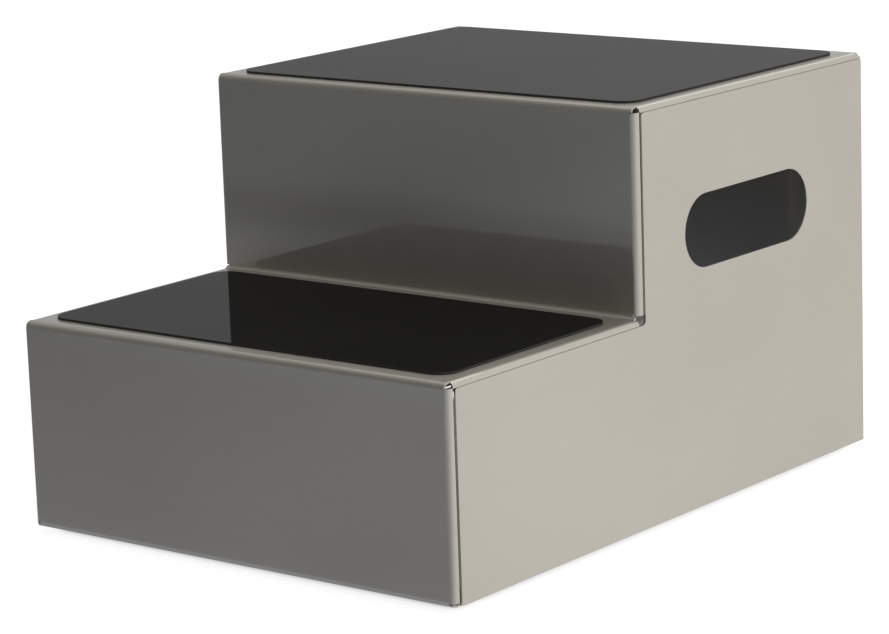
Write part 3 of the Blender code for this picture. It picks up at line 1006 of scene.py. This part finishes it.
@dataclass
class SidePanel:
    """A flat panel with a round-ended hand slot, set into one side of the strip."""

    node: str
    material: Material
    strip: FoldedStrip
    top_front_radius: float = 2.0 * MM
    inner_corner_radius: float = 3.3 * MM
    top_rear_radius: float = 1.2 * MM
    foot_front_radius: float = 1.0 * MM
    corner_segments: int = 10
    slot_length: float = 159.5 * MM
    slot_height: float = 53.1 * MM
    slot_below_tread: float = 98.8 * MM
    slot_forward: float = 9.5 * MM
    slot_segments: int = 24
    edge: Edge = SHEARED

    def build(self) -> list[Object]:
        """Cut the panel and its slot out of sheet.

        Returns:
            The finished panel.
        """
        low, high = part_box(self.node)
        strip = self.strip
        lower_z = strip.lower_z - (strip.high.z - high.z)
        inner_y = strip.riser_y + low.y - strip.low.y
        outline = [
            (low.y, low.z, self.foot_front_radius),
            (high.y, low.z, 0.0),
            (high.y, high.z, self.top_rear_radius),
            (inner_y, high.z, self.top_front_radius),
            (inner_y, lower_z, self.inner_corner_radius),
            (low.y, lower_z, self.top_front_radius),
        ]
        blank = Blank()
        corners = blank.side_line(low.x, [(y, z) for y, z, _ in outline], closed=True)
        for corner, (_, _, radius) in zip(corners, outline, strict=True):
            if radius:
                blank.round_corners([corner], radius, self.corner_segments)
        middle_y = (strip.riser_y + strip.high.y) / 2 - self.slot_forward
        middle_z = strip.high.z - self.slot_below_tread
        half_length, half_height = self.slot_length / 2, self.slot_height / 2
        bottom, top = middle_z - half_height, middle_z + half_height
        front, rear = middle_y - half_length, middle_y + half_length
        slot = [(front, bottom), (rear, bottom), (rear, top), (front, top)]
        slot_corners = blank.side_line(low.x, slot, closed=True)
        blank.round_corners(slot_corners, half_height - TINY, self.slot_segments)
        blank.fill_and_raise(ACROSS * (high.x - low.x))
        panel = blank.piece(self.node + "_cut")
        return [stand_for(panel, self.node, self.material, self.edge)]


@dataclass
class TreadMat:
    """A thin glossy mat with rounded corners and a softened rim."""

    node: str
    material: Material
    corner_radius: float = 14.2 * MM
    corner_segments: int = 20
    rim: Edge = Edge(0.35 * MM, 4)

    def build(self) -> list[Object]:
        """Cut the mat to its outline and round its rim.

        Returns:
            The finished mat.
        """
        low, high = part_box(self.node)
        outline = [(low.x, low.y), (high.x, low.y), (high.x, high.y), (low.x, high.y)]
        blank = Blank()
        corners = blank.line([(x, y, low.z) for x, y in outline], closed=True)
        blank.round_corners(corners, self.corner_radius, self.corner_segments)
        blank.fill_and_raise(UP * (high.z - low.z))
        mat = blank.piece(self.node + "_sheet")
        return [stand_for(mat, self.node, self.material, self.rim)]


@dataclass
class TreadStiffener:
    """A hat-shaped channel spot-welded under a tread from side to side."""

    node: str
    material: Material
    sheet: float = SHEET
    inside_radius: float = BEND_INSIDE_RADIUS
    bend_slices: int = 12
    lip: float = 14.0 * MM
    edge: Edge = SHEARED
    weld_radius: float = 2.6 * MM
    weld_taper: float = 0.5 * MM
    weld_depth: float = 0.18 * MM
    weld_from_middle: float = 1.0 * MM
    weld_sides: int = 24
    welds_per_lip: int = 6
    tong_length: float = 4.0 * MM

    def build(self) -> list[Object]:
        """Fold the channel and press its weld marks.

        Returns:
            The finished channel.
        """
        low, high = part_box(self.node)
        under = high.z - self.sheet
        outline = [
            (high.y, under),
            (high.y - self.lip, under),
            (high.y - self.lip, low.z),
            (low.y + self.lip, low.z),
            (low.y + self.lip, under),
            (low.y, under),
        ]
        blank = Blank()
        corners = blank.side_line(low.x, outline)
        outside_radius = self.inside_radius + self.sheet
        blank.round_corners([corners[2], corners[3]], outside_radius, self.bend_slices)
        blank.round_corners([corners[1], corners[4]], self.inside_radius, self.bend_slices)
        blank.draw_out(blank.bm.edges[:], ACROSS * (high.x - low.x))
        blank.close_up()
        blank.turn_level_face(low.z, upwards=False)
        channel = blank.piece(self.node + "_channel")
        give_thickness(channel, self.sheet)
        cut(channel, self.weld_marks())
        return [stand_for(channel, self.node, self.material, self.edge)]

    def weld_marks(self) -> Object:
        """The round tips of the welding tongs, which mark the lips from below.

        Returns:
            The marks as one tool.
        """
        low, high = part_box(self.node)
        blank = Blank()
        pitch = (high.x - low.x) / self.welds_per_lip
        inset = self.lip / 2 - self.weld_from_middle
        z = high.z - self.sheet + self.weld_depth - self.tong_length / 2
        radii = (self.weld_radius + self.weld_taper, self.weld_radius)
        for y in (low.y + inset, high.y - inset):
            for index in range(self.welds_per_lip):
                x = low.x + pitch * (index + 0.5)
                blank.rod(Vector((x, y, z)), radii, self.tong_length, self.weld_sides)
        return blank.piece("weld_marks")


@dataclass
class ScrewedFoot:
    """One rubber foot with the washer, screw and nut that hold it under a flange."""

    place: str
    rubber: Material
    zinc: Material
    hole_radius: float = SCREW_HOLE_RADIUS
    hole_sides: int = 48
    turning_steps: int = 64
    foot_taper: float = 1.0 * MM
    foot_recess: float = 5.2 * MM
    foot_web: float = 1.0 * MM
    foot_floor_rounding: Rounding = (0.5 * MM, 5)
    foot_top_rounding: Rounding = (0.25 * MM, 4)
    foot_edge: Edge = Edge(0.05 * MM, 1)
    washer_edge: Edge = Edge(0.09 * MM, 3)
    screw_radius: float = 2.0 * MM
    screw_head: float = 1.1 * MM
    screw_neck: float = 0.3 * MM
    screw_edge: Edge = Edge(0.03 * MM, 1, 55.0)
    dome_slices: int = 8
    thread_start: float = 0.6 * MM
    thread_stop: float = 0.5 * MM
    thread_pitch: float = 0.7 * MM
    thread_depth: float = 0.32 * MM
    tip_length: float = 0.4 * MM
    tip_inset: float = 0.7 * MM
    driver_wing: Triple = (4.2 * MM, 0.8 * MM, 1.3 * MM)
    driver_turn: float = 0.5
    nut_corner: Rounding = (0.17 * MM, 3)
    nut_edge: Edge = Edge(0.22 * MM, 3)

    def middle(self, node: str) -> Vector:
        """The lower middle of a node's box."""
        low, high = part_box(node)
        return Vector(((low.x + high.x) / 2, (low.y + high.y) / 2, low.z))

    def radius_and_height(self, node: str) -> Span:
        """Half the width and the whole height of a node's box."""
        low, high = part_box(node)
        return (high.x - low.x) / 2, high.z - low.z

    def turned(
        self,
        node: str,
        name: str,
        profile: Sequence[Span],
        closed: bool = True,
        roundings: Sequence[tuple[Sequence[int], Rounding]] = (),
    ) -> Object:
        """Turn a round piece on its node's middle.

        Args:
            node: The node it stands for.
            name: The piece's name.
            profile: Its outline as (radius, height above the node's lowest point).
            closed: Whether the outline is a ring.
            roundings: Which corners of the outline are rounded, and how.

        Returns:
            The piece.
        """
        blank = Blank()
        corners = blank.line([(radius, 0.0, height) for radius, height in profile], closed)
        for indices, rounding in roundings:
            blank.round_corners([corners[index] for index in indices], *rounding)
        blank.turn(self.turning_steps)
        blank.shift(self.middle(node))
        return blank.piece(name)

    def build_foot(self) -> Object:
        """Mould the foot: a low cone with a rounded floor edge and a recess for the head.

        Returns:
            The foot.
        """
        node = "foot_" + self.place
        radius, height = self.radius_and_height(node)
        profile = [
            (self.hole_radius, height),
            (radius, height),
            (radius - self.foot_taper, 0.0),
            (self.foot_recess, 0.0),
            (self.foot_recess, height - self.foot_web),
            (self.hole_radius, height - self.foot_web),
        ]
        roundings = [((2, 3), self.foot_floor_rounding), ((1,), self.foot_top_rounding)]
        foot = self.turned(node, node + "_moulded", profile, roundings=roundings)
        return stand_for(foot, node, self.rubber, self.foot_edge)

    def build_washer(self) -> Object:
        """Punch the washer and round its rims.

        Returns:
            The washer.
        """
        node = "foot_washer_" + self.place
        radius, height = self.radius_and_height(node)
        hole = self.hole_radius
        profile = [(hole, 0.0), (radius, 0.0), (radius, height), (hole, height)]
        washer = self.turned(node, node + "_punched", profile)
        return stand_for(washer, node, self.zinc, self.washer_edge)

    def build_screw(self) -> Object:
        """Turn the screw: a low domed head with a cross recess and a thread up to its tip.

        Returns:
            The screw.
        """
        node = "foot_screw_" + self.place
        head_radius, length = self.radius_and_height(node)
        head, root = self.screw_head, self.screw_radius - self.thread_depth
        profile = []
        for index in range(self.dome_slices + 1):
            angle = math.pi / 2 * index / self.dome_slices
            profile.append((head_radius * math.sin(angle), head * (1.0 - math.cos(angle))))
        profile += [(self.screw_radius, head), (self.screw_radius, head + self.screw_neck)]
        height = head + self.thread_start
        while height + self.thread_pitch < length - self.thread_stop:
            profile += [(root, height), (self.screw_radius, height + self.thread_pitch / 2)]
            height += self.thread_pitch
        profile += [
            (root, length - self.tip_length),
            (self.screw_radius - self.tip_inset, length),
            (0.0, length),
        ]
        screw = self.turned(node, node + "_turned", profile, closed=False)
        for turn in (0.0, math.pi / 2):
            wing = Blank()
            bmesh.ops.create_cube(wing.bm, size=1.0)
            bmesh.ops.scale(wing.bm, vec=self.driver_wing, verts=wing.bm.verts[:])
            spin = Matrix.Rotation(turn + self.driver_turn, 3, "Z")
            bmesh.ops.rotate(wing.bm, matrix=spin, verts=wing.bm.verts[:])
            wing.shift(self.middle(node))
            cut(screw, wing.piece("driver_wing"))
        return stand_for(screw, node, self.zinc, self.screw_edge)

    def build_nut(self) -> Object:
        """Form the hexagon nut and chamfer its corners.

        Returns:
            The nut.
        """
        node = "foot_nut_" + self.place
        low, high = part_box(node)
        flats = min(high.x - low.x, high.y - low.y)
        radius = flats / 2 / math.cos(math.pi / 6)
        blank = Blank()
        hexagon = bmesh.ops.create_circle(blank.bm, segments=6, radius=radius)["verts"]
        blank.round_corners(hexagon, *self.nut_corner)
        bmesh.ops.create_circle(blank.bm, segments=self.hole_sides, radius=self.hole_radius)
        blank.fill_and_raise(UP * (high.z - low.z))
        blank.shift(self.middle(node))
        nut = blank.piece(node + "_formed")
        return stand_for(nut, node, self.zinc, self.nut_edge)

    def build(self) -> list[Object]:
        """Make the foot and its fasteners.

        Returns:
            The four pieces.
        """
        return [self.build_foot(), self.build_washer(), self.build_screw(), self.build_nut()]


# The studio

# The level way in which the right side mirrors the camera's view.
MIRRORED_VIEW = (0.61, 0.77)


def along_the_mirrored_view(x: Signal, y: Signal) -> Signal:
    """How far a place lies along the mirrored view."""
    return x * MIRRORED_VIEW[0] + y * MIRRORED_VIEW[1]


def seen_plainly(graph: Graph) -> Signal:
    """1 for the camera's own rays, through glass as well, and 0 for all others."""
    return (graph.rays("Camera") + graph.rays("Transmission")).at_most(1.0)


@dataclass(frozen=True)
class StudioFloor(Finish):
    """Floor that is white to the camera and, in polished steel, grey in front of the steps.

    Mirrored light is graded along Y in front of them, from far to near, and across X. Beside and
    behind them it is white. Under them it is dark as painted shade, but for a painted bright strip
    on the left, and to the camera the glow is cut there as a painted shadow. Other light meets a
    plain pale floor, so the floor keeps the steps' shadow.
    """

    name: str = "studio_floor"
    beyond: Grade = (-1.05, -0.90, 0.105, 0.0)
    far: Grade = (-0.88, -0.72, 0.088, 0.216)
    near: Grade = (-0.70, -0.28, 0.0, -0.002)
    foot: Grade = (-0.285, -0.255, 0.0, 0.140)
    across: Grade = (-1.05, 0.0, 0.70, 1.30)
    far_part: Grade = (-0.80, -0.66, 1.0, 0.0)
    far_across: Grade = (-0.85, -0.45, -0.01, 0.08)
    beside: Grade = (0.0, 1.1, 0.965, 1.190)
    corner: Span = (0.190, -0.2556)
    past_corner: Span = (-1.95, 1.05)
    back_round: Span = (2.2, 3.1)
    # The footprint under the steps, where shade is painted; the painted shade there turns into a
    # painted bright strip on the left
    under_x: Span = (0.170, 0.186)
    under_y: Span = (0.230, 0.250)
    painted_shade_under: Grade = (-0.17, -0.02, 0.72, 0.0)
    cool_part: Span = (-0.82, -0.66)
    cool: Triple = (0.96, 1.01, 1.14)
    cooler: Triple = (0.89, 1.01, 1.20)
    # Tint of the painted shade under the steps
    painted_shade_tint: Triple = (0.88, 1.00, 1.35)
    glow: float = 0.89
    # Share of the white glow cut under the steps, as a painted shadow
    glow_cut_for_painted_shadow: float = 0.88
    lit_paint: Triple = (0.30, 0.30, 0.30)
    plain_paint: Triple = (0.62, 0.62, 0.62)
    paint_roughness: float = 0.6

    def paint(self, colour: Triple, graph: Graph) -> NodeSocket:
        """Plain floor paint of one colour."""
        inputs = {"Color": (*colour, 1.0), "Roughness": self.paint_roughness}
        return graph.shader("BsdfDiffuse", inputs)

    def surface(self, graph: Graph) -> NodeSocket:
        """Lay out the finish.

        Args:
            graph: The empty graph.

        Returns:
            The shader.
        """
        x, y, _ = graph.axes("Object")
        along = y.ramp(*self.far) + y.ramp(*self.near) + y.ramp(*self.foot) + y.ramp(*self.beyond)
        ahead = along * x.ramp(*self.across) + y.ramp(*self.far_part) * x.ramp(*self.far_across)
        beside = along_the_mirrored_view(x, y).ramp(*self.beside)
        angle = graph.math("ARCTAN2", y - self.corner[1], x - self.corner[0])
        round_corner = angle.ramp(*self.past_corner) - angle.ramp(*self.back_round)
        around = ahead + round_corner * (beside - ahead)
        # Under the steps: painted shade in the steel, with a painted bright strip on the left
        off_x, off_y = x.size().ramp(*self.under_x), y.size().ramp(*self.under_y)
        under = (1.0 - off_x) * (1.0 - off_y)
        shade = around + under * (x.ramp(*self.painted_shade_under) - around)
        cool = graph.blend(y.ramp(*self.cool_part), (*self.cooler, 1.0), (*self.cool, 1.0))
        open_tint = graph.blend(round_corner * (1.0 - under), cool, WHITE)
        tint = graph.blend(under, open_tint, (*self.painted_shade_tint, 1.0))
        mirrored = graph.shader("Emission", {"Color": graph.blend(shade, BLACK, tint)})
        # The white glow is cut under the steps: a painted shadow
        glow = self.glow * (1.0 - under * self.glow_cut_for_painted_shadow)
        white = graph.shader("Emission", {"Color": graph.blend(glow, BLACK, WHITE)})
        seen = graph.shader("AddShader", {0: white, 1: self.paint(self.lit_paint, graph)})
        plain_floor = self.paint(self.plain_paint, graph)
        unseen = {0: graph.rays("Glossy"), 1: plain_floor, 2: mirrored}
        bounced = graph.shader("MixShader", unseen)
        return graph.shader("MixShader", {0: seen_plainly(graph), 1: bounced, 2: seen})


@dataclass(frozen=True)
class Backdrop:
    """Surroundings that are white to the camera and, to all other rays, grey behind it.

    They are graded along the mirrored view in three bands, one above another.
    """

    name: str = "studio"
    horizon: tuple[Grade, ...] = (
        (-1.0, 0.0, 0.16, 0.64),
        (0.0, 0.45, 0.0, 0.18),
        (0.45, 0.90, 0.0, 0.22),
    )
    middle: Grade = (0.10, 0.80, 0.14, 0.90)
    overhead: Grade = (-1.0, 1.0, 0.18, 0.87)
    middle_from: Span = (0.26, 0.33)
    overhead_from: Span = (0.45, 0.65)

    def hang(self) -> None:
        """Make it the scene's world."""
        world = bpy.data.worlds.new(self.name)
        world.use_nodes = True
        bpy.context.scene.world = world
        graph = Graph(world.node_tree)
        x, y, z = graph.axes("Generated")
        away = along_the_mirrored_view(x, y)
        first, second, third = (away.ramp(*grade) for grade in self.horizon)
        horizon = first + second + third
        middle, overhead = away.ramp(*self.middle), away.ramp(*self.overhead)
        lower = horizon + z.ramp(*self.middle_from) * (middle - horizon)
        glow = lower + z.ramp(*self.overhead_from) * (overhead - middle)
        shade = graph.blend(glow + seen_plainly(graph) * (1.0 - glow), BLACK, WHITE)
        background = graph.shader("Background", {"Color": shade})
        graph.node("OutputWorld", None, {"Surface": background})


@dataclass(frozen=True)
class SoftBox:
    """A soft box lamp: its place, its width and height, and its power in watts."""

    name: str
    place: Triple
    size: Span
    power: float

    def hang(self, target: Vector) -> None:
        """Hang the lamp so that it faces a point.

        Args:
            target: The point.
        """
        lamp = bpy.data.lights.new(self.name, "AREA")
        lamp.shape = "RECTANGLE"
        lamp.size, lamp.size_y = self.size
        lamp.energy = self.power
        turn = (target - Vector(self.place)).to_track_quat("-Z", "Y")
        set_up(show(self.name, lamp), self.place, turn)


@dataclass
class Studio:
    """A plain pale floor, a backdrop, soft lamps and the camera."""

    floor_size: float = 12.0
    floor_finish: StudioFloor = StudioFloor()
    backdrop: Backdrop = Backdrop()
    lamps: tuple[SoftBox, ...] = (
        SoftBox("softbox_behind", (-0.17, 2.255, 1.74), (0.4, 0.55), 1.0),
        SoftBox("softbox_above", (0.35, 0.5, 2.6), (3.2, 3.2), 28.0),
    )
    lamp_target: Triple = (0.0, 0.0, 0.15)
    camera_place: Triple = (1.4857421, -1.8945626, 0.6554455)
    camera_turn: tuple[float, float, float, float] = (0.7400157, 0.5887631, 0.2160404, 0.2430254)
    camera_lens: float = 136.15964
    camera_sensor: float = 36.0
    camera_clip: Span = (0.05, 60.0)

    def build_floor(self) -> None:
        """Lay the floor."""
        blank = Blank()
        half = self.floor_size / 2
        bmesh.ops.create_grid(blank.bm, x_segments=1, y_segments=1, size=half)
        floor = blank.piece("floor")
        floor.data.materials.append(self.floor_finish.make())

    def build_camera(self) -> None:
        """Set the camera where the photograph was taken from."""
        lens = bpy.data.cameras.new("camera")
        lens.sensor_fit = "HORIZONTAL"
        lens.sensor_width = self.camera_sensor
        lens.lens = self.camera_lens
        lens.clip_start, lens.clip_end = self.camera_clip
        camera = show("camera", lens)
        set_up(camera, self.camera_place, Quaternion(self.camera_turn))
        bpy.context.scene.camera = camera

    def build(self) -> None:
        """Set up the floor, the backdrop, the lamps and the camera."""
        self.build_floor()
        self.backdrop.hang()
        for lamp in self.lamps:
            lamp.hang(Vector(self.lamp_target))
        self.build_camera()
        bpy.context.scene.view_settings.view_transform = "Standard"


def main() -> None:
    """Build and dress the steps, and set them in the studio."""
    logging.basicConfig(level=logging.INFO, format="%(message)s")
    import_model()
    # The panels carry the painted highlight on their front-facing cut edges
    panel_finish = SheetSteel("satin_steel_panel", grain=Grain.ALONG_THE_PANEL, painted_edge_light=1.0)
    zinc_finish = PlatedSteel("zinc_fastener", (0.58, 0.59, 0.61), roughness=0.30, crystals=900.0)
    mill_finish = PlatedSteel("plain_steel", (0.40, 0.40, 0.39), roughness=0.42, crystals=110.0)
    strip_steel = SheetSteel().make()
    panel_steel = panel_finish.make()
    mat_rubber = MatRubber().make()
    rubber = FootRubber().make()
    zinc = zinc_finish.make()
    mill_steel = mill_finish.make()
    strip = FoldedStrip(strip_steel)
    corners = [f"{row}_{side}" for row in ("front", "rear") for side in ("left", "right")]
    assemblies = [
        strip,
        SidePanel("side_panel_left", panel_steel, strip),
        SidePanel("side_panel_right", panel_steel, strip),
        TreadMat("mat_lower", mat_rubber),
        TreadMat("mat_upper", mat_rubber),
        TreadStiffener("stiffener_lower", mill_steel),
        TreadStiffener("stiffener_upper", mill_steel),
        *(ScrewedFoot(corner, rubber, zinc) for corner in corners),
    ]
    for assembly in assemblies:
        for piece in assembly.build():
            LOG.info("%s: %d faces", piece.name, len(piece.data.polygons))
    Studio().build()


if __name__ == "__main__":
    main()
